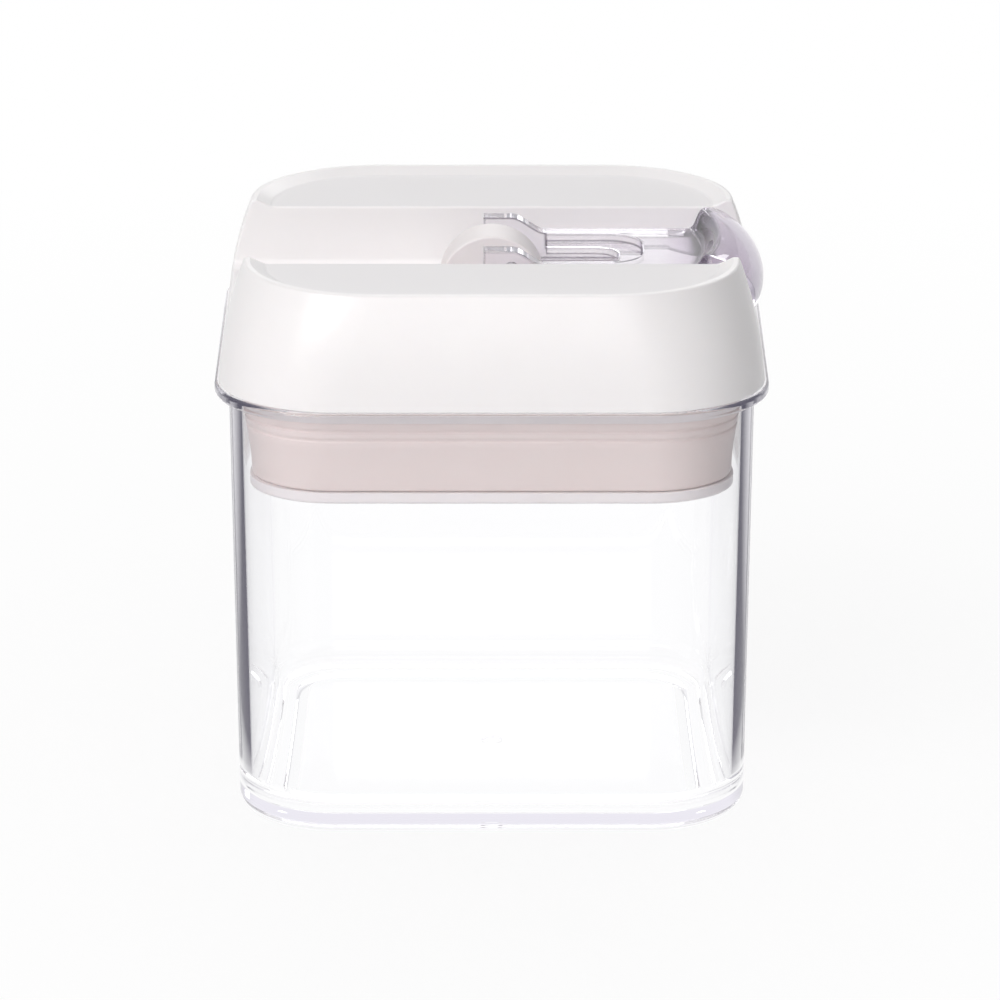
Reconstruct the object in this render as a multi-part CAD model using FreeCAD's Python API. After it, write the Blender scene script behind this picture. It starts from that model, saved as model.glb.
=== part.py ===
import FreeCAD, Part
import math
import os
from FreeCAD import Rotation, Vector

# Storage container with a flip-lever sealing lid, in millimetres.
# The origin is the centre of the jar's resting face, +Z is up, and the lever lies towards +X.

# Jar
jar_half_top = 52.2        # half the width of the body, at the mouth
jar_draft = 1.4            # how far each wall leans in from the mouth to the foot
jar_height = 89.3          # resting face to the top of the flange
jar_corner = 21.0          # plan corner radius at the mouth
jar_wall = 2.4
jar_floor = 3.0
rim_reach = 2.8            # flange round the mouth, beyond the body
rim_thick = 2.1
rim_round = 0.7
foot_round = 4.0
floor_round = 6.0
foot_ring = 8.3            # ring that it stands on, round a shallow recess under the floor
recess_slope = 3.0
recess_depth = 0.8
gate_radius = 2.2          # dimple round the moulding gate
gate_depth = 0.6

# Lid shell
seat_gap = 0.15            # the skirt's lower edge over the flange
lid_inset = 0.8            # the skirt's lower edge inside the flange's edge
lid_draw = 5.0             # how far the side leans in from the skirt to the crest
lid_corner_ease = 0.5      # the skirt's corners rounder than the flange's
lid_corner_growth = 2.5    # and the crest's rounder than the skirt's
hump_height = 20.9         # skirt's lower edge to the flat of the two humps
border_height = 1.4        # raised border round the flats
border_foot = 4.2          # crest's outer edge to the border's inner foot
border_crest = 1.2
border_corner = 4.0        # corner radius lost from the crest to the border's foot
side_bulge = 0.85          # how far the side stands out from a straight slope at mid height
crest_round = 0.6
hump_round = 0.5           # along the trough's upper edges
dish_foot_round = 1.6
lid_wall = 2.0
trough_share = 71 / 174     # half the trough's width, as a share of the jar's
trough_floor = 7.7         # skirt's lower edge to the trough's floor
trough_round = 2.5
scoop_radius = 12.0        # finger scoop under the lever's nose
scoop_gap = 0.1            # the scoop's underside to the base
boss_inset_x = 10.0        # screw bosses, inside the tub's side
boss_inset_y = 7.5
boss_radius = 3.6
slot_gap = 0.3             # round the rod's head where it passes the trough's floor

# Lid base, which closes the shell and carries the seal
base_gap = 0.4
base_plate = 2.0
neck_gap = 0.5
neck_height = 2.85
tub_wall = 1.8
tub_gap = 0.95             # the tub's lower edge to the press plate's upstand
sleeve_radius = 7.0
rib_thick = 1.5
rib_rise = 1.05            # the ribs' lower edge over the sleeve's end

# Gasket
gasket_gap = 0.35          # between the gasket and the jar's wall, lever upright
gasket_draw = 1.7          # how far the band leans in from top to foot
gasket_depth = 4.7         # its lips, measured in from the foot's edge to the tub
gasket_height = 15.4       # pressed height, neck to plate
gasket_wall = 2.2
gasket_lip = 2.0
gasket_seat_gap = 0.1
lip_groove = 0.35
lip_groove_width = 0.7

# Press plate
plate_gap = 1.4            # to the jar's wall
plate_thick = 2.3
plate_round = 0.7
upstand_height = 2.4
upstand_wall = 1.6
plate_boss_radius = 8.0
plate_boss_height = 6.0
socket_depth = 2.0
socket_floor = 2.0
cap_recess_radius = 6.5

# Pull rod
head_radius = 10.5
head_thick = 10.0
head_rise = 1.0            # the head's top over the flats
head_reach = 1.65          # how far the head stands in the trough's floor
head_edge = 0.5
stem_radius = 4.0
fit_gap = 0.05             # running fits
pilot_depth = 9.0
rod_travel = 1.8           # how far the rod drops as the lever is lifted

# Lever and pin
pin_radius = 1.5
pin_share = 5 / 12         # pin's axis below the flats, as a share of the trough's depth
pin_edge = 0.3
press_gap = 0.01
cam_gap = 0.2              # cam to the trough's floor
ear_top = 0.5              # over the flats
ear_back = -1.7            # the ears' back edge, from the rod's axis
ear_slope = 7.0            # length of the ears' slope down to the arm
ear_thick = 3.7
ear_gap = 4.6              # the ears' outer faces inside the tab's sides
arm_top_share = 0.205      # the arm's top and underside below the flats, as shares of the trough's depth
arm_share = 0.65
arm_lead = 5.5             # pin's axis to where the rails' underside starts
web_share = 0.242          # thickness of the web between the rails
pocket_side = 0.4          # the pocket's sides inside the ears
pocket_inset = 6.6         # the pocket's closed end to the tab's root
pocket_depth_share = 0.121
pocket_round_share = 0.68  # of the pocket's half-width
slot_side = 1.3            # the slot's sides to the rod's head
slot_inset = 4.8           # the slot's closed end to the pocket's
slot_round_share = 0.8
tab_gap = 2.3              # the tab's sides to the trough's
tab_length = 9.15          # the tab's root to the nose's centre
tab_wall_share = 0.274     # of the nose's radius
tab_corner_share = 0.571
web_lead = 5.0             # from the tab's root: where the top starts to rise
flare_lead = 2.0           # where the sides start to flare
flare_length = 7.0
nose_reach = 0.7           # the nose beyond the skirt's lower edge
nose_rise = 0.75           # the nose's top over the flats
nose_share = 0.663         # radius of the rolled nose, as a share of the trough's depth
nose_cut_share = 0.879     # the nose's lower edge below the flats
nose_plan_radius = 62.0
cheek_lead = 0.85          # nose's centre to where the cheeks' lower edge turns up
lever_round = 0.3          # on the lever's upper edges

# Return spring, seal ring, washers, screws and cap
spring_wire = 1.0
spring_radius = 5.9
spring_turns = 3.5
spring_room = 6.8          # plate's boss to the seal washer
spring_gap = 0.15
seal_section = 0.98
seal_gap = 0.1
washer_thick = 0.8
plate_washer_radius = 5.4
screw_radius = 1.45
screw_hole_gap = 0.05
screw_head_radius = 3.0
screw_head_height = 2.0
screw_length = 10.0
screw_round = 0.5
drive_radius = 1.3
drive_depth = 1.0
cap_thick = 1.2
cap_gap = 0.1
cap_ring_wall = 1.1
cap_ring_height = 0.9
cap_edge = 0.3
pilot_gap = 1.0            # the pilot hole's end past the screw's tip

overrun = 1.0              # by which every cutting tool passes the face that it cuts

# Heights worked out from the sizes above
lid_base_z = jar_height + seat_gap
flat_z = lid_base_z + hump_height
crest_z = flat_z + border_height
trough_z = lid_base_z + trough_floor
trough_depth = hump_height - trough_floor
scoop_z = lid_base_z + base_plate + scoop_gap + lid_wall
neck_z = lid_base_z - neck_height
gasket_z = neck_z - gasket_height
plate_z = gasket_z - plate_thick
tub_z = gasket_z + upstand_height + tub_gap
boss_top_z = gasket_z + plate_boss_height
socket_z = boss_top_z - socket_depth
recess_z = socket_z - socket_floor
sleeve_z = boss_top_z + spring_room + washer_thick
head_z = flat_z + head_rise - head_radius
head_foot_z = trough_z - head_reach
pin_z = flat_z - pin_share * trough_depth
cam_short = pin_z - trough_z - cam_gap - rod_travel
arm_top = -arm_top_share * trough_depth
arm_bottom = -arm_share * trough_depth
web_thick = web_share * trough_depth
pocket_depth = pocket_depth_share * trough_depth
nose_radius = nose_share * trough_depth
tab_wall = tab_wall_share * nose_radius
tab_corner = tab_corner_share * nose_radius
nose_drop = nose_radius - nose_rise
nose_cut = nose_cut_share * trough_depth


def jar_inside(z):
    """Half the jar's inner width at height z."""
    return jar_half_top - jar_wall - jar_draft * (jar_height - z) / jar_height


# Widths worked out from the sizes above
corner_x = jar_half_top - jar_corner
trough_half = trough_share * jar_half_top
jar_half_foot = jar_half_top - jar_draft
rim_half = jar_half_top + rim_reach
rim_corner = jar_corner + rim_reach
recess_half = jar_half_foot - foot_ring
lid_half_base = rim_half - lid_inset
lid_half_crest = lid_half_base - lid_draw
lid_corner_base = rim_corner - lid_inset + lid_corner_ease
lid_corner_crest = lid_corner_base + lid_corner_growth
dish_half_foot = lid_half_crest - border_foot
dish_half_crest = lid_half_crest - border_crest
dish_corner_foot = lid_corner_crest - border_corner
gasket_half_top = jar_inside(neck_z) - gasket_gap
gasket_half_foot = gasket_half_top - gasket_draw
tub_half = gasket_half_foot - gasket_depth
plate_half = jar_inside(gasket_z) - plate_gap
boss_x = tub_half - boss_inset_x
boss_y = tub_half - boss_inset_y
tab_half = trough_half - tab_gap
arm_half = tab_half - ear_gap
ear_inner = arm_half - ear_thick
pocket_half = ear_inner - pocket_side
slot_half = head_thick / 2 + slot_side
nose_x = lid_half_base + nose_reach - nose_radius
tab_root = nose_x - tab_length
pocket_end = tab_root - pocket_inset
slot_end = pocket_end - slot_inset
pin_x = ear_back + cam_short
ear_slope_end = pin_x + ear_slope

up = Vector(0, 0, 1)
across = Vector(0, 1, 0)


def outline(half, corner, z):
    """A square of half-width `half` with round corners, level at z."""
    flat = half - corner
    middle = flat + corner * math.cos(math.pi / 4)
    edges = []
    for quarter in range(4):
        turn = Rotation(up, 90 * quarter)
        start, end, bend, after = [
            turn.multVec(Vector(x, y, z))
            for x, y in ((half, -flat), (half, flat), (middle, middle), (flat, half))
        ]
        edges.append(Part.makeLine(start, end))
        edges.append(Part.Arc(end, bend, after).toShape())
    return Part.Wire(edges)


def block(half, corner, low, high):
    """An upright block with the plan of outline()."""
    return Part.Face(outline(half, corner, low)).extrude(up * (high - low))


def taper(sections, ruled=True):
    """A solid through level outlines, each given as half-width, corner radius and height."""
    return Part.makeLoft([outline(*section) for section in sections], True, ruled)


def round_rod(radius, low, high, x=0, y=0):
    return Part.makeCylinder(radius, high - low, Vector(x, y, low), up)


def cross_rod(radius, length, x, z):
    """A round rod along Y, centred on the XZ plane."""
    return Part.makeCylinder(radius, length, Vector(x, -length / 2, z), across)


def box(x_low, x_high, y_half, low, high):
    return Part.makeBox(x_high - x_low, 2 * y_half, high - low, Vector(x_low, -y_half, low))


def edges_at(solid, z, slack=1e-4):
    """The edges of a solid that lie level at height z."""
    return [
        e for e in solid.Edges
        if abs(e.BoundBox.ZMin - z) < slack and abs(e.BoundBox.ZMax - z) < slack
    ]


def joined(first, *others):
    return first.fuse(list(others)).removeSplitter()


def jar():
    """The clear jar: drafted walls, thick round foot, recessed underside and a flange round the mouth."""
    body = taper([(jar_half_foot, jar_corner - jar_draft, 0), (jar_half_top, jar_corner, jar_height)])
    body = body.makeFillet(foot_round, edges_at(body, 0))
    rim = block(rim_half, rim_corner, jar_height - rim_thick, jar_height)
    rim = rim.makeFillet(rim_round, edges_at(rim, jar_height) + edges_at(rim, jar_height - rim_thick))
    low = jar_inside(jar_floor)
    high = jar_inside(jar_height + overrun)
    inside = taper([(low, low - corner_x, jar_floor), (high, high - corner_x, jar_height + overrun)])
    inside = inside.makeFillet(floor_round, edges_at(inside, jar_floor))
    recess_top = recess_half - recess_slope
    recess = taper([
        (recess_half, recess_half - corner_x, 0),
        (recess_top, recess_top - corner_x, recess_depth),
    ])
    gate = round_rod(gate_radius, 0, recess_depth + gate_depth)
    return joined(body, rim).cut([inside, recess, gate])


def lid_side(inset, low, high, steps=4):
    """The lid's rounded outer form between two heights, drawn in by `inset`."""
    sections = []
    for step in range(steps + 1):
        z = low + (high - low) * step / steps
        share = (z - lid_base_z) / (crest_z - lid_base_z)
        half = lid_half_base - lid_draw * share + 4 * side_bulge * share * (1 - share)
        corner = lid_corner_base + lid_corner_growth * share
        sections.append((half - inset, corner - inset, z))
    return taper(sections, ruled=False)


def dish():
    """The sunk flat inside the raised border, as a cutting tool."""
    slope = (dish_half_crest - dish_half_foot) / border_height
    top = dish_half_crest + slope * overrun
    top_corner = dish_corner_foot + top - dish_half_foot
    tool = taper([(dish_half_foot, dish_corner_foot, flat_z), (top, top_corner, crest_z + overrun)])
    return tool.makeFillet(dish_foot_round, edges_at(tool, flat_z))


def trough(grow=0):
    """The trough along X and the finger scoop at its +X end, as a cutting tool."""
    half = trough_half + grow
    floor = trough_z - grow
    reach = lid_half_base + overrun
    channel = box(-reach, reach, half, floor, crest_z + overrun)
    corners = [e for e in edges_at(channel, floor) if e.BoundBox.XLength > half]
    channel = channel.makeFillet(trough_round + grow, corners)
    radius = scoop_radius + grow
    centre = Vector(lid_half_base, -half, scoop_z + scoop_radius)
    scoop = Part.makeCylinder(radius, 2 * half, centre, across)
    return joined(channel, scoop)


def boss_places():
    return [(x * boss_x, y * boss_y) for x in (-1, 1) for y in (-1, 1)]


def lid_shell():
    """The white cover: two dished humps with a trough between them, hollow below."""
    outer = lid_side(0, lid_base_z, crest_z)
    outer = outer.cut(dish())
    outer = outer.makeFillet(crest_round, edges_at(outer, crest_z)[:8])
    inner = lid_side(lid_wall, lid_base_z - overrun, flat_z - lid_wall)
    hollow = inner.cut(trough(lid_wall))
    boss_foot = lid_base_z + base_plate
    bosses = [round_rod(boss_radius, boss_foot, flat_z - lid_wall / 2, x, y) for x, y in boss_places()]
    shell = outer.cut(trough()).cut(hollow)
    shell = joined(shell, *bosses)
    pilot_top = lid_base_z - screw_head_height + screw_length
    pilots = [
        round_rod(screw_radius + screw_hole_gap, lid_base_z, pilot_top + pilot_gap, x, y)
        for x, y in boss_places()
    ]
    slot = box(
        -head_radius - slot_gap,
        head_radius + slot_gap,
        head_thick / 2 + slot_gap,
        trough_z - lid_wall - overrun,
        trough_z + overrun,
    )
    shell = shell.cut(pilots + [slot])
    bounds = [(e, e.BoundBox) for e in shell.Edges if e.BoundBox.YLength < fit_gap]
    walls = [(e, bound) for e, bound in bounds if abs(abs(bound.YMin) - trough_half) < fit_gap]
    rims = [e for e, bound in walls if bound.ZMax > flat_z - hump_round]
    return shell.makeFillet(hump_round, rims)


def ribs(inner, outer, low, high):
    """Four upright ribs from the centre boss out to the wall."""
    rib = Part.makeBox(outer - inner, rib_thick, high - low, Vector(inner, -rib_thick / 2, low))
    return [rib.rotated(Vector(0, 0, 0), up, 90 * quarter) for quarter in range(4)]


def lid_base():
    """The part that closes the shell from below, with the neck, the tub and the rod's sleeve."""
    plate_half_width = lid_half_base - lid_wall - base_gap
    plate_corner = lid_corner_base - lid_wall - base_gap
    plate = block(plate_half_width, plate_corner, lid_base_z, lid_base_z + base_plate)
    neck_half = jar_half_top - jar_wall - neck_gap
    neck = block(neck_half, neck_half - corner_x, neck_z, lid_base_z)
    tub = block(tub_half, tub_half - corner_x, tub_z, neck_z)
    inside_half = tub_half - tub_wall
    inside = block(inside_half, inside_half - corner_x, tub_z - overrun, lid_base_z)
    body = joined(plate, neck, tub).cut(inside)
    sleeve = round_rod(sleeve_radius, sleeve_z, lid_base_z + base_plate)
    rib_end = inside_half + tub_wall / 2
    webs = ribs(sleeve_radius - rib_thick, rib_end, sleeve_z + rib_rise, lid_base_z)
    body = joined(body, sleeve, *webs)
    bore = round_rod(stem_radius + fit_gap, sleeve_z - overrun, lid_base_z + base_plate + overrun)
    seal_depth = 2 * (seal_section + seal_gap)
    seal_seat = round_rod(
        stem_radius + seal_depth,
        sleeve_z - overrun,
        sleeve_z + seal_depth,
    )
    hole_radius = screw_radius + screw_hole_gap
    hole_top = lid_base_z + base_plate + overrun
    holes = [round_rod(hole_radius, lid_base_z - overrun, hole_top, x, y) for x, y in boss_places()]
    return body.cut([bore, seal_seat] + holes)


def gasket():
    """The silicone seal: a drafted band with a lip above and below and two fine sealing grooves."""
    top = neck_z - gasket_seat_gap
    foot = gasket_z + gasket_seat_gap
    fall = (gasket_half_top - gasket_half_foot) / (top - foot)
    outer = taper([
        (gasket_half_foot, gasket_half_foot - corner_x, foot),
        (gasket_half_top, gasket_half_top - corner_x, top),
    ])
    hole_half = tub_half + neck_gap
    hole = block(hole_half, hole_half - corner_x, foot - overrun, top + overrun)
    low = gasket_half_foot - gasket_wall + fall * gasket_lip
    high = gasket_half_top - gasket_wall - fall * gasket_lip
    hollow = taper([
        (low, low - corner_x, foot + gasket_lip),
        (high, high - corner_x, top - gasket_lip),
    ])
    band = outer.cut([hole, hollow])
    for turn in (1, 2):
        z = top - gasket_lip * turn
        cover = gasket_half_top + overrun
        core = gasket_half_top - fall * (top - z) - lip_groove
        ring = block(cover, cover - corner_x, z - lip_groove_width, z)
        ring = ring.cut(block(core, core - corner_x, z - lip_groove_width - overrun, z + overrun))
        band = band.cut(ring)
    return band


def press_plate():
    """The plate that squeezes the gasket, with an upstand, ribs and the rod's socket."""
    flange = block(plate_half, plate_half - corner_x, plate_z, gasket_z)
    flange = flange.makeFillet(plate_round, edges_at(flange, plate_z))
    wall_half = tub_half
    wall = block(wall_half, wall_half - corner_x, gasket_z, gasket_z + upstand_height)
    inner_half = wall_half - upstand_wall
    wall = wall.cut(block(inner_half, inner_half - corner_x, gasket_z, gasket_z + upstand_height + overrun))
    boss = round_rod(plate_boss_radius, gasket_z, boss_top_z)
    webs = ribs(
        plate_boss_radius - rib_thick,
        inner_half + upstand_wall / 2,
        gasket_z,
        gasket_z + upstand_height,
    )
    plate = joined(flange, wall, boss, *webs)
    socket = round_rod(stem_radius + fit_gap, socket_z, boss_top_z + overrun)
    hole = round_rod(screw_radius + screw_hole_gap, recess_z - overrun, socket_z + overrun)
    recess = round_rod(cap_recess_radius, plate_z - overrun, recess_z)
    return plate.cut([socket, hole, recess])


def pull_rod():
    """The rod from the press plate to the lever, with the half-round head that holds the pin."""
    disc = cross_rod(head_radius, head_thick, 0, head_z)
    skirt = box(-head_radius, head_radius, head_thick / 2, head_foot_z, head_z)
    lower = box(-head_radius, head_radius, head_thick / 2, head_z - head_radius - overrun, head_foot_z)
    head = joined(disc, skirt).cut(lower)
    bounds = [(e, e.BoundBox) for e in head.Edges]
    rims = [e for e, bound in bounds if bound.YLength < fit_gap and bound.ZMax > head_foot_z + fit_gap]
    head = head.makeFillet(head_edge, rims)
    stem = round_rod(stem_radius, socket_z, head_foot_z + overrun)
    rod = joined(head, stem)
    bore = cross_rod(pin_radius + fit_gap, head_thick + 2 * overrun, pin_x, pin_z)
    pilot = round_rod(screw_radius + screw_hole_gap, socket_z - overrun, socket_z + pilot_depth)
    return rod.cut([bore, pilot])


def cam_edge(steps=8):
    """The cam's edge: its reach falls evenly with the angle, so the rod drops evenly as the lever turns."""
    rate = rod_travel / (math.pi / 2)
    points = []
    for step in range(steps + 1):
        angle = math.pi / 2 * step / steps
        reach = cam_short + rod_travel - rate * angle
        x = -math.sin(angle) * reach + rate * math.cos(angle)
        z = -math.cos(angle) * reach - rate * math.sin(angle)
        points.append(Vector(pin_x + x, 0, pin_z + z))
    curve = Part.BSplineCurve()
    curve.interpolate(points)
    return curve.toShape(), points[0], points[-1]


def side_point(x, rise):
    """A point of the lever's side view: x and the height over the flats."""
    return Vector(x, 0, flat_z + rise)


def rail_side():
    """Side view of the ears and rails, from the cam to the nose."""
    cam, cam_foot, cam_side = cam_edge()
    slope_start = side_point(pin_x, ear_top)
    slope_end = side_point(ear_slope_end, arm_top)
    run = ear_slope / 3
    slope = Part.BezierCurve()
    slope.setPoles([
        slope_start,
        slope_start + Vector(run, 0, 0),
        slope_end - Vector(run, 0, 0),
        slope_end,
    ])
    corners = [
        slope_end,
        side_point(tab_root, arm_top),
        side_point(tab_root, arm_bottom),
        side_point(pin_x + arm_lead, arm_bottom),
        cam_foot,
    ]
    edges = [slope.toShape()]
    edges += [Part.makeLine(a, b) for a, b in zip(corners, corners[1:])]
    edges.append(cam)
    ear_corner = side_point(ear_back, ear_top)
    edges.append(Part.makeLine(cam_side, ear_corner))
    edges.append(Part.makeLine(ear_corner, slope_start))
    return Part.Face(Part.Wire(Part.__sortEdges__(edges)))


def u_slot(end, half, round_share, low, high):
    """A pocket open towards -X with two round corners at its closed end."""
    start = ear_back - overrun
    pocket = box(start, end, half, low, high)
    bounds = [(e, e.BoundBox) for e in pocket.Edges]
    corners = [e for e, bound in bounds if bound.ZLength > bound.YLength and bound.XMin > start]
    return pocket.makeFillet(round_share * half, corners)


def tab_side(inset, back, low):
    """Side view of the tab and its rolled nose, drawn in by `inset`, as a face."""
    radius = nose_radius - inset
    top = nose_radius - nose_drop - inset
    root_top = arm_top - (web_thick if inset else 0)
    centre = side_point(nose_x, -nose_drop)
    drop = low - nose_drop
    end = side_point(nose_x + math.sqrt(radius ** 2 - drop ** 2), -low)
    lean = math.sqrt(0.5) * radius
    rise = Part.BezierCurve()
    start = side_point(tab_root + web_lead, root_top)
    crown = side_point(nose_x, top)
    pull = Vector((tab_length - web_lead) / 2, 0, 0)
    rise.setPoles([start, start + pull, crown - pull, crown])
    back_points = [
        end,
        side_point(nose_x + cheek_lead, -low),
        side_point(back, -low if inset else arm_bottom),
        side_point(back, root_top),
        start,
    ]
    edges = [rise.toShape(), Part.Arc(crown, centre + Vector(lean, 0, lean), end).toShape()]
    edges += [Part.makeLine(a, b) for a, b in zip(back_points, back_points[1:])]
    return Part.Face(Part.Wire(Part.__sortEdges__(edges)))


def tab_plan(rail_half, half, corner, low, high):
    """The tab seen from above: as wide as the arm at its root, flared to the nose, with round end corners."""
    start = tab_root - overrun
    axis_x = nose_x + nose_radius - nose_plan_radius
    corner_end = axis_x + math.sqrt(nose_plan_radius ** 2 - (tab_half - tab_corner) ** 2)
    centre_x = corner_end - tab_corner
    reach = nose_x + nose_radius + overrun
    lean = corner * math.sqrt(0.5)
    flare_start = tab_root + flare_lead
    flare_end = flare_start + flare_length
    middle = (flare_start + flare_end) / 2
    edges = []
    for side in (-1, 1):
        root = Vector(flare_start, side * rail_half, low)
        wide = Vector(flare_end, side * half, low)
        flare = Part.BezierCurve()
        flare.setPoles([root, Vector(middle, root.y, low), Vector(middle, wide.y, low), wide])
        turn_start = Vector(centre_x, side * half, low)
        turn_end = Vector(centre_x + corner, side * (half - corner), low)
        turn_middle = Vector(centre_x + lean, side * (half - corner + lean), low)
        edges += [
            Part.makeLine(Vector(start, root.y, low), root),
            flare.toShape(),
            Part.makeLine(wide, turn_start),
            Part.Arc(turn_start, turn_middle, turn_end).toShape(),
            Part.makeLine(turn_end, Vector(reach, turn_end.y, low)),
        ]
    edges.append(Part.makeLine(Vector(start, -rail_half, low), Vector(start, rail_half, low)))
    edges.append(Part.makeLine(Vector(reach, corner - half, low), Vector(reach, half - corner, low)))
    return Part.Face(Part.Wire(Part.__sortEdges__(edges))).extrude(up * (high - low))


def tab():
    """The tab with its rolled nose: a shell open below, whose end bulges in plan."""
    axis = Vector(nose_x + nose_radius - nose_plan_radius, 0, 0)
    angle = 2 * math.degrees(math.asin((tab_half + overrun) / (tab_root - overrun - axis.x)))
    low = flat_z - nose_cut - 2 * overrun
    high = flat_z + 2 * overrun

    def turned(face):
        return face.rotated(axis, up, -angle / 2).revolve(axis, up, angle)

    outer = turned(tab_side(0, tab_root, nose_cut))
    outer = outer.common(tab_plan(arm_half, tab_half, tab_corner, low, high))
    inner = turned(tab_side(tab_wall, tab_root - overrun, nose_cut + overrun))
    inner = inner.common(tab_plan(ear_inner, tab_half - tab_wall, tab_corner - tab_wall, low, high))
    return outer.cut(inner)


def slot_rims(body, z, half, end):
    """The level edges round a slot of the lever, at height z."""
    bounds = [(e, e.BoundBox) for e in edges_at(body, z)]
    inside = [(e, bound) for e, bound in bounds if max(-bound.YMin, bound.YMax) < half + fit_gap]
    return [
        e for e, bound in inside
        if bound.XMin > ear_slope_end - fit_gap and bound.XMax < end + fit_gap
    ]


def rounded_lever(body):
    """The lever with round edges along its top, its ears and the two steps of its slot."""
    top = flat_z + arm_top
    bounds = [(e, e.BoundBox) for e in body.Edges]
    sides = [(e, bound) for e, bound in bounds if bound.YLength < fit_gap and bound.ZMin > top - fit_gap]
    rims = [
        e for e, bound in sides
        if abs(abs(bound.YMin) - arm_half) < fit_gap and bound.XMax < tab_root + fit_gap
    ]
    rims += [
        e for e, bound in bounds
        if bound.XMax < ear_back + fit_gap and bound.ZMax > flat_z + ear_top - fit_gap
    ]
    rims += slot_rims(body, top, pocket_half, pocket_end)
    rims += slot_rims(body, top - pocket_depth, slot_half, slot_end)
    return body.makeFillet(lever_round, rims)


def lever():
    """The clear lever: cam ears, hollow arm with a stepped slot, and the tab with its rolled nose."""
    body = rail_side().extrude(across * (2 * arm_half))
    body.translate(across * -arm_half)
    back = ear_back - overrun
    high = flat_z + ear_top + overrun
    under = box(back, tab_root + overrun, ear_inner, trough_z - overrun, flat_z + arm_top - web_thick)
    between = box(back, ear_slope_end, ear_inner, trough_z - overrun, high)
    pocket = u_slot(pocket_end, pocket_half, pocket_round_share, flat_z + arm_top - pocket_depth, high)
    slot = u_slot(slot_end, slot_half, slot_round_share, trough_z, high)
    body = rounded_lever(joined(body.cut([under, between, pocket, slot]), tab()))
    return body.cut(cross_rod(pin_radius + press_gap, 2 * (arm_half + overrun), pin_x, pin_z))


def lever_pin():
    """The steel pin through the ears and the rod's head."""
    pin = cross_rod(pin_radius, 2 * arm_half, pin_x, pin_z)
    return pin.makeChamfer(pin_edge, [e for e in pin.Edges if e.BoundBox.YLength < pin_edge])


def arc_of_tangents(start, apex, end):
    """The arc from start to end whose end tangents meet at apex."""
    middle = (start + end) * 0.5
    to_chord = middle - apex
    leg = (start - apex).Length
    to_centre = leg ** 2 / to_chord.Length
    radius = math.sqrt(to_centre ** 2 - leg ** 2)
    crown = apex + to_chord.normalize() * (to_centre - radius)
    return Part.Arc(start, crown, end).toShape()


def coil(radius, low, high, turns, steps=4):
    """The centre line of a coil, each quarter turn two arcs that share its tangents."""
    pitch = (high - low) / turns
    places = []
    for step in range(round(turns * steps) + 1):
        angle = 2 * math.pi * step / steps
        place = Vector(radius * math.cos(angle), radius * math.sin(angle), low + pitch * step / steps)
        along = Vector(-radius * math.sin(angle), radius * math.cos(angle), pitch / (2 * math.pi))
        places.append((place, along.normalize()))
    edges = []
    for (start, start_way), (end, end_way) in zip(places, places[1:]):
        chord = end - start
        both = start_way + end_way
        spread = 2 * (1 - start_way.dot(end_way))
        leg = (-chord.dot(both) + math.sqrt(chord.dot(both) ** 2 + spread * chord.dot(chord))) / spread
        first = start + start_way * leg
        second = end - end_way * leg
        joint = (first + second) * 0.5
        edges.append(arc_of_tangents(start, first, joint))
        edges.append(arc_of_tangents(joint, second, end))
    return Part.Wire(edges)


def return_spring():
    """The coil spring that pushes the press plate down when the lever is lifted."""
    low = boss_top_z + spring_gap + spring_wire / 2
    high = sleeve_z - washer_thick - spring_gap - spring_wire / 2
    path = coil(spring_radius, low, high, spring_turns)
    print("least gap between turns", round((high - low) / spring_turns - spring_wire, 3))
    start = path.Edges[0].Vertexes[0].Point
    section = Part.Wire(Part.makeCircle(spring_wire / 2, start, path.Edges[0].tangentAt(0)))
    return path.makePipeShell([section], True, False)


def rod_seal():
    """The O-ring round the rod."""
    depth = seal_section + seal_gap
    return Part.makeTorus(stem_radius + depth, seal_section, Vector(0, 0, sleeve_z + depth), up)


def ring_washer(outer, hole, low):
    washer = round_rod(outer, low, low + washer_thick)
    return washer.cut(round_rod(hole, low - overrun, low + washer_thick + overrun))


def seal_washer():
    """The washer that keeps the O-ring in its seat and carries the spring."""
    return ring_washer(sleeve_radius, stem_radius + seal_gap, sleeve_z - washer_thick)


def plate_washer():
    """The washer under the screw that holds the rod."""
    return ring_washer(plate_washer_radius, screw_radius + screw_hole_gap, recess_z - washer_thick)


def screw(seat_z, length):
    """A round-headed screw with its head below seat_z and a six-sided drive recess."""
    head = round_rod(screw_head_radius, seat_z - screw_head_height, seat_z)
    foot = edges_at(head, seat_z - screw_head_height)
    head = head.makeFillet(screw_round, foot)
    shank = round_rod(screw_radius, seat_z, seat_z + length)
    shank = shank.makeChamfer(screw_round, edges_at(shank, seat_z + length))
    corners = [
        Vector(drive_radius * math.cos(a), drive_radius * math.sin(a), seat_z - screw_head_height)
        for a in [math.radians(60 * side) for side in range(7)]
    ]
    drive = Part.Face(Part.makePolygon(corners)).extrude(up * drive_depth)
    return joined(head, shank).cut(drive)


def lid_screws():
    """Four screws that hold the base to the shell."""
    one = screw(lid_base_z, screw_length - screw_head_height)
    return [one.translated(Vector(x, y, 0)) for x, y in boss_places()]


def plate_screw():
    """The screw that holds the press plate to the rod."""
    return screw(recess_z - washer_thick, screw_length)


def screw_cap():
    """The cap that closes the screw's recess flush with the press plate."""
    radius = cap_recess_radius - cap_gap
    disc = round_rod(radius, plate_z, plate_z + cap_thick)
    disc = disc.makeChamfer(cap_edge, edges_at(disc, plate_z))
    ring_top = plate_z + cap_thick + cap_ring_height
    ring = round_rod(radius, plate_z + cap_thick, ring_top)
    ring = ring.cut(round_rod(radius - cap_ring_wall, plate_z, ring_top + overrun))
    return joined(disc, ring)


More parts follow.
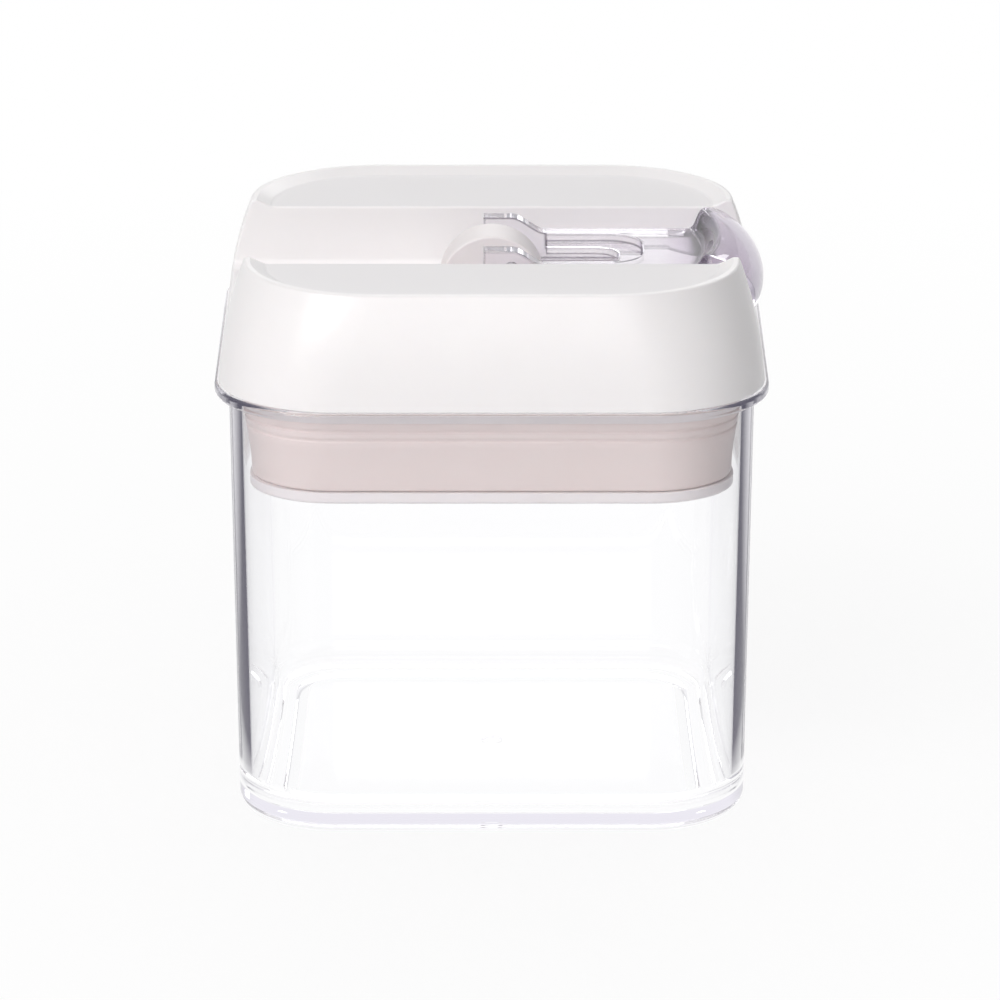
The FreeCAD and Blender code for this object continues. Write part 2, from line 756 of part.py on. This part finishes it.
def write(name, shape):
    """One STEP file for a node, whose shape is a solid or a list of separate solids."""
    solids = shape if isinstance(shape, list) else shape.Solids
    whole = solids[0] if len(solids) == 1 else Part.makeCompound(solids)
    print(name, "solids", len(solids), "valid", whole.isValid(), "mm3", round(whole.Volume, 1))
    whole.exportStep(os.path.join("parts", name + ".step"))


def main():
    os.makedirs("parts", exist_ok=True)
    for make in (
        jar,
        lid_shell,
        lid_base,
        gasket,
        press_plate,
        pull_rod,
        lever,
        lever_pin,
        return_spring,
        rod_seal,
        seal_washer,
        plate_washer,
        plate_screw,
        screw_cap,
        lid_screws,
    ):
        write(make.__name__, make())
    print("rod travel", round(rod_travel, 3), "pin", pin_x, round(pin_z, 3), "top", round(crest_z, 3))


main()
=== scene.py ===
import math

import bpy
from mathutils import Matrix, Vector


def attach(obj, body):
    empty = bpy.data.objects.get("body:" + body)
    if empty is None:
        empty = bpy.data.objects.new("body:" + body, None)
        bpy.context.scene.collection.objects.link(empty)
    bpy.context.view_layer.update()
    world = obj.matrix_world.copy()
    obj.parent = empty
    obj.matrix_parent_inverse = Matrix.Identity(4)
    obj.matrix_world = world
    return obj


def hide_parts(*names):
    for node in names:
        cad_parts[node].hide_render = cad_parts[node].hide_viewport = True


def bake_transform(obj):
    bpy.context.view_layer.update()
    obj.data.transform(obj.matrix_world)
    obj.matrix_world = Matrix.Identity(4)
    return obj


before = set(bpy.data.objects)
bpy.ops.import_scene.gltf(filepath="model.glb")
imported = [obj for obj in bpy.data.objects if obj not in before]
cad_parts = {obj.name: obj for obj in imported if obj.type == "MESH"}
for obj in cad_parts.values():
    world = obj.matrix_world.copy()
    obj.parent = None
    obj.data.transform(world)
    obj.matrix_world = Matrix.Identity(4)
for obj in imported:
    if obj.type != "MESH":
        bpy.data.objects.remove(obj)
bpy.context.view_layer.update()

print("frame loaded, nodes:", len(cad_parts))


# a colour picked as 0-255 numbers, as the shader wants it
def paint(red, green, blue):
    levels = [value / 255 for value in (red, green, blue)]
    linear = [v / 12.92 if v <= 0.04045 else ((v + 0.055) / 1.055) ** 2.4 for v in levels]
    return (*linear, 1.0)


# an output of a node that can be added, multiplied and compared as in a sum
class Signal:
    def __init__(self, finish, socket):
        self.finish = finish
        self.socket = socket

    def maths(self, operation, first, second):
        return self.finish.add("ShaderNodeMath", {"operation": operation}, {0: first, 1: second})

    def __add__(self, other):
        return self.maths("ADD", self, other)

    def __radd__(self, other):
        return self.maths("ADD", other, self)

    def __sub__(self, other):
        return self.maths("SUBTRACT", self, other)

    def __rsub__(self, other):
        return self.maths("SUBTRACT", other, self)

    def __mul__(self, other):
        return self.maths("MULTIPLY", self, other)

    def __rmul__(self, other):
        return self.maths("MULTIPLY", other, self)

    def __gt__(self, other):
        return self.maths("GREATER_THAN", self, other)


# one material or world, and the single way in which its nodes are made
class Finish:
    def __init__(self, owner):
        self.owner = owner
        owner.use_nodes = True
        self.tree = owner.node_tree
        self.tree.nodes.clear()

    def add(self, kind, settings, values, output=0):
        node = self.tree.nodes.new(kind)
        for key, value in settings.items():
            if key == "stops":
                ramp = node.color_ramp.elements
                while len(ramp) < len(value):
                    ramp.new(0.5)
                for stop, (place, colour) in zip(ramp, value):
                    stop.position = place
                    stop.color = colour
            else:
                setattr(node, key, value)
        for key, value in values.items():
            if isinstance(value, Signal):
                self.tree.links.new(value.socket, node.inputs[key])
            else:
                node.inputs[key].default_value = value
        return Signal(self, node.outputs[output])

    # soft noise on the object itself, from 0 to 1, `scale` to the metre
    def cloud(self, scale, detail, stretch=(1, 1, 1)):
        place = self.add("ShaderNodeMapping", {}, {"Vector": self.place(), "Scale": stretch})
        values = {"Vector": place, "Scale": scale, "Detail": detail}
        return self.add("ShaderNodeTexNoise", {}, values, "Fac")

    def between(self, share, first, second, blend="MIX"):
        settings = {"data_type": "RGBA", "blend_type": blend}
        return self.add("ShaderNodeMix", settings, {0: share, 6: first, 7: second}, 2)

    # colours set at a few places along a value
    def colours(self, value, stops):
        return self.add("ShaderNodeValToRGB", {"stops": stops}, {"Fac": value})

    # the same with levels from 0 to 1
    def ramp(self, value, stops):
        return self.colours(value, [(place, (level, level, level, 1)) for place, level in stops])

    def place(self, what="Object"):
        return self.add("ShaderNodeTexCoord", {}, {}, what)

    # the place on the object in one direction, in metres, or how far its surface faces that way
    def along(self, axis, what="Object"):
        return self.add("ShaderNodeSeparateXYZ", {}, {0: self.place(what)}, axis)

    def distance(self, place):
        return self.add("ShaderNodeVectorMath", {"operation": "LENGTH"}, {0: place}, "Value")

    # rises from 0 on a flat face to the edges of the mesh
    def edge(self, width, samples=6):
        soft = self.add("ShaderNodeBevel", {"samples": samples}, {"Radius": width}, "Normal")
        plain = self.add("ShaderNodeNewGeometry", {}, {}, "Normal")
        both = {0: soft, 1: plain}
        return 1 - self.add("ShaderNodeVectorMath", {"operation": "DOT_PRODUCT"}, both, "Value")

    def dents(self, height, strength, depth):
        values = {"Height": height, "Strength": strength, "Distance": depth}
        return self.add("ShaderNodeBump", {}, values, "Normal")

    def either(self, share, first, second):
        return self.add("ShaderNodeMixShader", {}, {0: share, 1: first, 2: second})

    def ray(self, kind):
        return self.add("ShaderNodeLightPath", {}, {}, kind)

    def done(self, surface, kind="ShaderNodeOutputMaterial"):
        node = self.tree.nodes.new(kind)
        self.tree.links.new(surface.socket, node.inputs["Surface"])
        return self.owner


# moulded opaque plastic: faint mottling, a fine grain and a slightly uneven gloss
def mouldedPlastic(name, look):
    finish = Finish(bpy.data.materials.new(name))
    mottle = finish.cloud(look["mottleScale"], detail=3)
    grain = finish.cloud(look["grainScale"], detail=2)
    colour = finish.between(mottle, look["light"], look["dark"])
    roughness = look["roughness"] + (mottle - 0.5) * look["unevenness"]
    # painted shade: upward faces in a height band get a darker colour; they are also made rougher
    if "matt" in look:
        flatsShadeAndMatt = look["matt"]
        matt = finish.ramp(finish.along("Z") * 1000 - flatsShadeAndMatt["height"], flatsShadeAndMatt["band"])
        matt = matt * (finish.along("Z", "Normal") > flatsShadeAndMatt["facing"])
        colour = finish.between(matt, colour, flatsShadeAndMatt["colour"])
        roughness = roughness + matt * flatsShadeAndMatt["rougher"]
    surface = finish.add("ShaderNodeBsdfPrincipled", {}, {
        "Base Color": colour,
        "Roughness": roughness,
        "IOR": look["ior"],
        "Coat Weight": look["coat"],
        "Coat Roughness": look["coatRoughness"],
        "Subsurface Weight": look["glow"],
        "Subsurface Radius": look["glowReach"],
        "Normal": finish.dents(grain, look["grain"], look["grainDepth"]),
    })
    return finish.done(surface)


# clear plastic: shadows and matt surfaces see straight through it, so that the inside is lit
def clearPlastic(name, look):
    finish = Finish(bpy.data.materials.new(name))
    haze = finish.cloud(look["hazeScale"], detail=3)
    ripple = finish.cloud(look["rippleScale"], detail=1)
    body = finish.between(haze, look["light"], look["dark"])
    # painted shade: a dark arc across the lever's arm, darkest at the nose's root
    if "paintedDarkArc" in look:
        across = finish.along("Y")
        bow = finish.along("X") * 10 + across * across * look["bow"]    # a ramp's steps are coarse
        body = finish.between(1.0, body, finish.colours(bow, look["paintedDarkArc"]), "MULTIPLY")
    # painted shade: the colour darkens along the mesh's edges
    edge = finish.ramp(finish.edge(look["edgeWidth"]), look["edge"])
    clear = finish.add("ShaderNodeBsdfPrincipled", {}, {
        "Base Color": finish.between(edge, body, look["rim"]),
        "Roughness": look["roughness"] + haze * look["unevenness"],
        "IOR": look["ior"],
        "Transmission Weight": 1.0,
        "Normal": finish.dents(ripple, look["ripple"], look["rippleDepth"]),
    })
    through = finish.add("ShaderNodeBsdfTransparent", {}, {"Color": look["shadow"]})
    spent = finish.ray("Glossy Depth") > look["turns"]     # turned back so often that it may leave
    unseen = finish.ray("Is Shadow Ray") + finish.ray("Is Diffuse Ray") + spent
    return finish.done(finish.either(unseen, clear, through))


# milky silicone: soft, a little see-through, with a dull sheen
def silicone(name, look):
    finish = Finish(bpy.data.materials.new(name))
    mottle = finish.cloud(look["mottleScale"], detail=3)
    dust = finish.cloud(look["dustScale"], detail=4)
    surface = finish.add("ShaderNodeBsdfPrincipled", {}, {
        "Base Color": finish.between(mottle, look["light"], look["dark"]),
        "Roughness": look["roughness"] + dust * look["unevenness"],
        "IOR": look["ior"],
        "Subsurface Weight": look["glow"],
        "Subsurface Radius": look["glowReach"],
        "Sheen Weight": look["sheen"],
        "Normal": finish.dents(dust, look["grain"], look["grainDepth"]),
    })
    return finish.done(surface)


# drawn or turned steel, with fine lines along one direction
def steel(name, look):
    finish = Finish(bpy.data.materials.new(name))
    lines = finish.cloud(look["lineScale"], detail=4, stretch=look["stretch"])
    tarnish = finish.cloud(look["tarnishScale"], detail=3)
    surface = finish.add("ShaderNodeBsdfPrincipled", {}, {
        "Base Color": finish.between(tarnish, look["light"], look["dark"]),
        "Metallic": 1.0,
        "Roughness": look["roughness"] + lines * look["unevenness"],
        "Normal": finish.dents(lines, look["grain"], look["grainDepth"]),
    })
    return finish.done(surface)


whiteGloss = mouldedPlastic("whiteGloss", {
    "light": paint(250, 248, 248),
    "dark": paint(246, 243, 244),
    "mottleScale": 60,
    "roughness": 0.3,
    "unevenness": 0.06,
    "ior": 1.5,
    "coat": 0.08,
    "coatRoughness": 0.2,
    "glow": 0.05,
    "glowReach": (0.004, 0.0035, 0.003),
    "grainScale": 1400,
    "grain": 0.04,
    "grainDepth": 0.0001,
    "matt": {                  # the two sunk flats, by their height in millimetres: painted shade that darkens them, and a rougher finish
        "height": 109.85,
        "band": [(0.3, 0), (0.4, 1), (0.6, 1), (0.7, 0)],
        "facing": 0.9,
        "colour": paint(241, 239, 240),
        "rougher": 0.3,
    },
})
whiteSatin = mouldedPlastic("whiteSatin", {
    "light": paint(246, 241, 241),
    "dark": paint(240, 233, 234),
    "mottleScale": 90,
    "roughness": 0.38,
    "unevenness": 0.08,
    "ior": 1.5,
    "coat": 0.0,
    "coatRoughness": 0.1,
    "glow": 0.1,
    "glowReach": (0.004, 0.0035, 0.003),
    "grainScale": 2200,
    "grain": 0.12,
    "grainDepth": 0.0001,
})
clearJar = clearPlastic("clearJar", {
    "light": paint(255, 255, 255),
    "dark": paint(254, 254, 255),
    "hazeScale": 45,
    "roughness": 0.0,
    "unevenness": 0.02,
    "ior": 1.49,
    "rippleScale": 40,
    "ripple": 0.03,
    "rippleDepth": 0.0002,
    "shadow": paint(254, 254, 255),
    "turns": 2.5,
    "edgeWidth": 0.0004,
    # painted shade: a faint darker tint along the edges
    "edge": [(0.1, 0), (0.6, 0.12)],
    "rim": paint(200, 198, 216),
})
clearLever = clearPlastic("clearLever", {
    "light": paint(254, 253, 255),
    "dark": paint(252, 251, 254),
    "hazeScale": 120,
    "roughness": 0.0,
    "unevenness": 0.03,
    "ior": 1.49,
    "rippleScale": 90,
    "ripple": 0.03,
    "rippleDepth": 0.0002,
    "shadow": paint(252, 251, 254),
    "turns": 2.5,
    "paintedDarkArc": [                # painted shade, ten times the metres along the arm: darkest at the nose's root
        (0.34, paint(255, 255, 255)), (0.405, paint(232, 226, 234)), (0.42, paint(84, 76, 90)),
        (0.44, paint(52, 44, 56)), (0.454, paint(84, 76, 90)), (0.464, paint(212, 204, 214)),
    ],
    "bow": 80,                 # how much that painted dark arc curves
    # painted shade: dark lines along the edges
    "edgeWidth": 0.0008,
    "edge": [(0.01, 0), (0.09, 1)],
    "rim": paint(48, 40, 54),
})
milkySilicone = silicone("milkySilicone", {
    "light": paint(237, 224, 221),
    "dark": paint(230, 216, 213),
    "mottleScale": 70,
    "dustScale": 900,
    "roughness": 0.38,
    "unevenness": 0.15,
    "ior": 1.41,
    "glow": 0.2,
    "glowReach": (0.005, 0.004, 0.004),
    "sheen": 0.1,
    "grain": 0.1,
    "grainDepth": 0.0001,
})
sealRubber = silicone("sealRubber", {
    "light": paint(232, 226, 223),
    "dark": paint(220, 213, 210),
    "mottleScale": 400,
    "dustScale": 2500,
    "roughness": 0.5,
    "unevenness": 0.2,
    "ior": 1.41,
    "glow": 0.0,
    "glowReach": (0.005, 0.004, 0.004),
    "sheen": 0.2,
    "grain": 0.2,
    "grainDepth": 0.0001,
})
brightSteel = steel("brightSteel", {
    "light": paint(214, 214, 216),
    "dark": paint(186, 186, 190),
    "lineScale": 900,
    "stretch": (1, 0.08, 1),
    "tarnishScale": 300,
    "roughness": 0.2,
    "unevenness": 0.15,
    "grain": 0.1,
    "grainDepth": 0.00005,
})
print("finishes made")


# each imported node takes its finish
def dress(nodes, material):
    for name in nodes:
        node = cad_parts[name]
        node.data.materials.clear()
        node.data.materials.append(material)


dress(["jar"], clearJar)
dress(["lever"], clearLever)
dress(["lid_shell"], whiteGloss)
dress(["lid_base"], whiteSatin)
dress(["press_plate", "screw_cap"], whiteSatin)
dress(["pull_rod"], whiteSatin)
dress(["rod_seal"], sealRubber)
dress(["lever_pin", "seal_washer", "plate_washer", "plate_screw", "lid_screws"], brightSteel)
print("nodes dressed")


weld = 0.000001    # corners closer than this become one


# draws a section in the XZ plane, pulling one corner from place to place, and closes it
def drawSection(name, corners, start):
    firstX, firstZ = corners[0]
    bpy.ops.object.select_all(action="DESELECT")
    bpy.ops.mesh.primitive_plane_add(size=0.001, location=(firstX, start, firstZ))
    bpy.context.object.name = name
    bpy.ops.object.mode_set(mode="EDIT")
    bpy.ops.mesh.merge(type="CENTER")
    for last, place in zip(corners, corners[1:] + corners[:1]):
        step = (place[0] - last[0], 0, place[1] - last[1])
        bpy.ops.mesh.extrude_vertices_move(TRANSFORM_OT_translate={"value": step})
    bpy.ops.mesh.select_all(action="SELECT")
    bpy.ops.mesh.remove_doubles(threshold=weld)


# carries the drawn section round a square, whose round corners have their centres at `reach`
def carryRoundSquare(reach, steps):
    for quarter in range(4):
        turn = math.pi / 2 * quarter
        right, ahead = math.cos(turn), math.sin(turn)
        along = (-ahead * 2 * reach, right * 2 * reach, 0)
        centre = (reach * (right - ahead), reach * (ahead + right), 0)
        bpy.ops.mesh.extrude_region_move(TRANSFORM_OT_translate={"value": along})
        bpy.ops.mesh.spin(steps=steps, angle=-math.pi / 2, center=centre, axis=(0, 0, 1))


def placeInMesh():
    bpy.ops.object.transform_apply(location=True, rotation=True, scale=True)


# leaves edit mode with one clean skin, its place in its mesh
def closeSkin():
    bpy.ops.mesh.select_all(action="SELECT")
    bpy.ops.mesh.remove_doubles(threshold=weld)
    bpy.ops.mesh.normals_make_consistent(inside=False)
    bpy.ops.object.mode_set(mode="OBJECT")
    placeInMesh()
    return bpy.context.object


# adds an upright circle of corners, its centre `reach` to the right, its place in its mesh
def addRing(name, sides, radius, fill, reach, height):
    bpy.ops.object.select_all(action="DESELECT")
    bpy.ops.mesh.primitive_circle_add(
        vertices=sides, radius=radius, fill_type=fill,
        location=(reach, 0, height), rotation=(math.pi / 2, 0, 0),
    )
    bpy.context.object.name = name
    placeInMesh()
    return bpy.context.object


def modify(piece, kind, settings):
    bpy.ops.object.modifier_add(type=kind)
    modifier = piece.modifiers[-1]
    for key, value in settings.items():
        setattr(modifier, key, value)
    bpy.ops.object.modifier_apply(modifier=modifier.name)


gasketShape = {
    "cornerCentre": 0.0312,
    "cornerSteps": 20,
    "outside": [               # half-width and height, from the top lip down over the two fine grooves
        (0.04895, 0.08650), (0.04922, 0.08644), (0.04936, 0.08630), (0.04939, 0.08600),
        (0.04920, 0.08455), (0.04906, 0.08446), (0.04890, 0.08440), (0.04886, 0.08415),
        (0.04888, 0.08390), (0.04902, 0.08384), (0.04908, 0.08372),
        (0.04893, 0.08262), (0.04879, 0.08253), (0.04864, 0.08247), (0.04860, 0.08215),
        (0.04862, 0.08190), (0.04874, 0.08183), (0.04880, 0.08170),
        (0.04862, 0.08050), (0.04836, 0.07900), (0.04812, 0.07740), (0.04793, 0.07560),
        (0.04780, 0.07380), (0.04771, 0.07240), (0.04767, 0.07190), (0.04756, 0.07157),
        (0.04734, 0.07137), (0.04700, 0.07130),
    ],
    "inside": [                # back up inside, between the two lips
        (0.04362, 0.07130), (0.04355, 0.07137), (0.04355, 0.07318), (0.04363, 0.07330),
        (0.04555, 0.07330), (0.04585, 0.07360), (0.04625, 0.07700), (0.04655, 0.08000),
        (0.04676, 0.08410), (0.04655, 0.08450), (0.04363, 0.08450), (0.04355, 0.08462),
        (0.04355, 0.08640), (0.04362, 0.08650),
    ],
    "softness": 0.00012,
    "softenAngle": 40,
    "smoothAngle": 50,
    "top": (0, 0, 0.0863),
    "foot": (0, 0, 0.0715),
}


def buildGasket(shape):
    section = shape["outside"] + shape["inside"]
    drawSection("silicone_gasket", section, -shape["cornerCentre"])
    carryRoundSquare(shape["cornerCentre"], shape["cornerSteps"])
    gasket = closeSkin()
    modify(gasket, "BEVEL", {
        "width": shape["softness"],
        "segments": 2,
        "angle_limit": math.radians(shape["softenAngle"]),
    })
    bpy.ops.object.shade_smooth_by_angle(angle=math.radians(shape["smoothAngle"]))
    gasket.data.materials.append(milkySilicone)
    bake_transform(gasket)
    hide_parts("gasket")


buildGasket(gasketShape)
print("gasket built")

springShape = {
    "radius": 0.0059,
    "wire": 0.0005,
    "foot": 0.07785,
    "top": 0.08335,
    "turns": 3.5,
    "sides": 16,
    "stepsPerTurn": 40,
    "smoothAngle": 40,
}


def buildSpring(shape):
    spring = addRing(
        "coil_spring", shape["sides"], shape["wire"], "NGON", shape["radius"], shape["foot"],
    )
    steps = round(shape["turns"] * shape["stepsPerTurn"])
    modify(spring, "SCREW", {
        "angle": 2 * math.pi * shape["turns"],
        "screw_offset": shape["top"] - shape["foot"],
        "steps": steps,
        "render_steps": steps,
    })
    bpy.ops.object.mode_set(mode="EDIT")
    bpy.ops.mesh.select_all(action="SELECT")
    bpy.ops.mesh.fill_holes(sides=0)
    closeSkin()
    bpy.ops.object.shade_smooth_by_angle(angle=math.radians(shape["smoothAngle"]))
    spring.data.materials.append(brightSteel)
    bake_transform(spring)
    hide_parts("return_spring")


buildSpring(springShape)
print("spring built")

sealShape = {
    "reach": 0.00508,
    "section": 0.00096,
    "height": 0.08588,
    "flash": 0.00004,          # fine ridge that the mould's halves leave
    "sides": 24,
    "steps": 72,
    "smoothAngle": 40,
}


def buildSealRing(shape):
    ring = addRing(
        "seal_ring", shape["sides"], shape["section"], "NOTHING", shape["reach"], shape["height"],
    )
    bpy.ops.object.mode_set(mode="EDIT")
    bpy.ops.mesh.select_all(action="DESELECT")
    bpy.ops.object.mode_set(mode="OBJECT")
    for corner in ring.data.vertices:
        corner.select = abs(corner.co.z - shape["height"]) < shape["section"] / 100
    bpy.ops.object.mode_set(mode="EDIT")
    spread = 1 + shape["flash"] / shape["section"]
    centre = (shape["reach"], 0, shape["height"])
    bpy.ops.transform.resize(value=(spread, 1, 1), center_override=centre)
    bpy.ops.object.mode_set(mode="OBJECT")
    steps = shape["steps"]
    modify(ring, "SCREW", {"angle": 2 * math.pi, "steps": steps, "render_steps": steps})
    bpy.ops.object.mode_set(mode="EDIT")
    closeSkin()
    bpy.ops.object.shade_smooth_by_angle(angle=math.radians(shape["smoothAngle"]))
    ring.data.materials.append(sealRubber)
    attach(ring, "lid")
    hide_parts("rod_seal")


buildSealRing(sealShape)
print("seal ring built")

stage = {
    "floorSize": 6.0,
    "floor": paint(250, 250, 251),
    "speckScale": 30,
    "roughness": 0.7,
    "gloss": 0.2,
    "white": (1.0, 1.0, 1.0, 1.0),
    "whiteness": [(0.05, 0.86), (0.16, 0.93), (0.45, 1.0)],    # share of plain white, by distance
    "trapped": [               # what a clear wall brings from in front, the side and behind
        (0.0, (0.95, 0.95, 0.96, 1)), (0.15, (0.85, 0.84, 0.87, 1)), (0.4, (0.1, 0.09, 0.13, 1)),
        (0.76, (0.05, 0.045, 0.08, 1)), (0.95, (0.86, 0.84, 0.89, 1)),
    ],
    "reach": [(0.058, 0.1), (0.078, 1)],    # where that begins, from the middle
    "secondWall": 0.35,        # how much of it a second wall brings
    "ambient": (0.92, 0.92, 0.95, 1.0),
    "ambientStrength": 0.12,
}


# what the camera sees of the stage, straight or through and off the object
def shown(finish):
    mirrored = finish.ray("Is Glossy Ray") + finish.ray("Is Transmission Ray")
    return finish.ray("Is Camera Ray") + mirrored > 0.5


# rays turned back inside a clear wall come out dim, as from a studio's unlit side
def seenColour(finish, where):
    passes = finish.ray("Transmission Depth")
    turns = finish.ray("Glossy Depth")
    beyond = passes > 2.5
    firstWall = (turns > 0.5) * (passes > 0.5) * (1 - beyond)
    caught = firstWall + (turns > 1.5) * beyond * stage["secondWall"]
    place = finish.place(where)
    caught = caught * finish.ramp(finish.distance(place), stage["reach"])
    way = finish.add("ShaderNodeVectorMath", {"operation": "NORMALIZE"}, {0: place}, "Vector")
    depth = finish.add("ShaderNodeSeparateXYZ", {}, {0: way}, "Y") * 0.5 + 0.5
    return finish.between(caught, stage["white"], finish.colours(depth, stage["trapped"]))


def floorFinish():
    finish = Finish(bpy.data.materials.new("paleFloor"))
    speck = finish.cloud(stage["speckScale"], detail=2)
    matt = finish.add("ShaderNodeBsdfPrincipled", {}, {
        "Base Color": finish.between(speck, stage["floor"], stage["white"]),
        "Roughness": stage["roughness"],
        "Specular IOR Level": stage["gloss"],
    })
    glow = finish.add("ShaderNodeEmission", {}, {"Color": seenColour(finish, "Object")})
    share = finish.ramp(finish.distance(finish.place()), stage["whiteness"])
    mirrored = finish.ray("Is Glossy Ray") + finish.ray("Is Transmission Ray") > 0.5
    return finish.done(finish.either(finish.ray("Is Camera Ray") * share + mirrored, matt, glow))


def surroundings():
    world = bpy.data.worlds.new("studio")
    bpy.context.scene.world = world
    finish = Finish(world)
    backdrop = finish.add("ShaderNodeBackground", {}, {
        "Color": seenColour(finish, "Generated"),
        "Strength": 1.0,
    })
    ambient = finish.add("ShaderNodeBackground", {}, {
        "Color": stage["ambient"],
        "Strength": stage["ambientStrength"],
    })
    finish.done(finish.either(shown(finish), ambient, backdrop), "ShaderNodeOutputWorld")


surroundings()
bpy.ops.mesh.primitive_plane_add(size=stage["floorSize"], location=(0, 0, 0))
floor = bpy.context.object
floor.name = "floor"
floor.data.materials.append(floorFinish())
print("stage set")

lampAim = Vector((0, 0, 0.07))
lamps = {
    "key": {"place": (-0.75, -1.0, 1.05), "size": 0.8, "power": 12.8, "colour": (1.0, 0.99, 0.98)},
    "front": {"place": (0.0, -1.45, 0.75), "size": 0.8, "power": 4.1, "colour": (1.0, 0.98, 0.97)},
    "over": {"place": (0.0, -0.1, 1.5), "size": 1.0, "power": 3.6, "colour": (1.0, 1.0, 1.0)},
    "fill": {"place": (1.1, -0.6, 0.7), "size": 0.8, "power": 0.5, "colour": (0.99, 0.98, 1.0)},
    "back": {"place": (0.1, 1.2, 1.0), "size": 0.8, "power": 5.0, "colour": (1.0, 1.0, 1.0)},
}


def lamp(name, look):
    bpy.ops.object.light_add(type="AREA", location=look["place"])
    light = bpy.context.object
    light.name = name
    light.rotation_euler = (lampAim - light.location).to_track_quat("-Z", "Y").to_euler()
    light.data.size = look["size"]
    light.data.energy = look["power"]
    light.data.color = look["colour"]


for name, look in lamps.items():
    lamp(name, look)

view = {
    "distance": 1.4149,
    "rise": 17.81,
    "aim": 0.055,              # height that it looks at
    "lens": 249.48,
    "sensor": 36,
    "shiftX": 0.0083,
    "shiftY": -0.0043,
    "clipStart": 0.05,
}
rise = math.radians(view["rise"])
away, up = view["distance"] * math.cos(rise), view["distance"] * math.sin(rise)
place = (0, -away, view["aim"] + up)
bpy.ops.object.camera_add(location=place, rotation=(math.pi / 2 - rise, 0, 0))
camera = bpy.context.object
camera.data.lens = view["lens"]
camera.data.sensor_width = view["sensor"]
camera.data.shift_x = view["shiftX"]
camera.data.shift_y = view["shiftY"]
camera.data.clip_start = view["clipStart"]
bpy.context.scene.camera = camera
bpy.context.scene.view_settings.view_transform = "Standard"
print("camera and lamps placed")
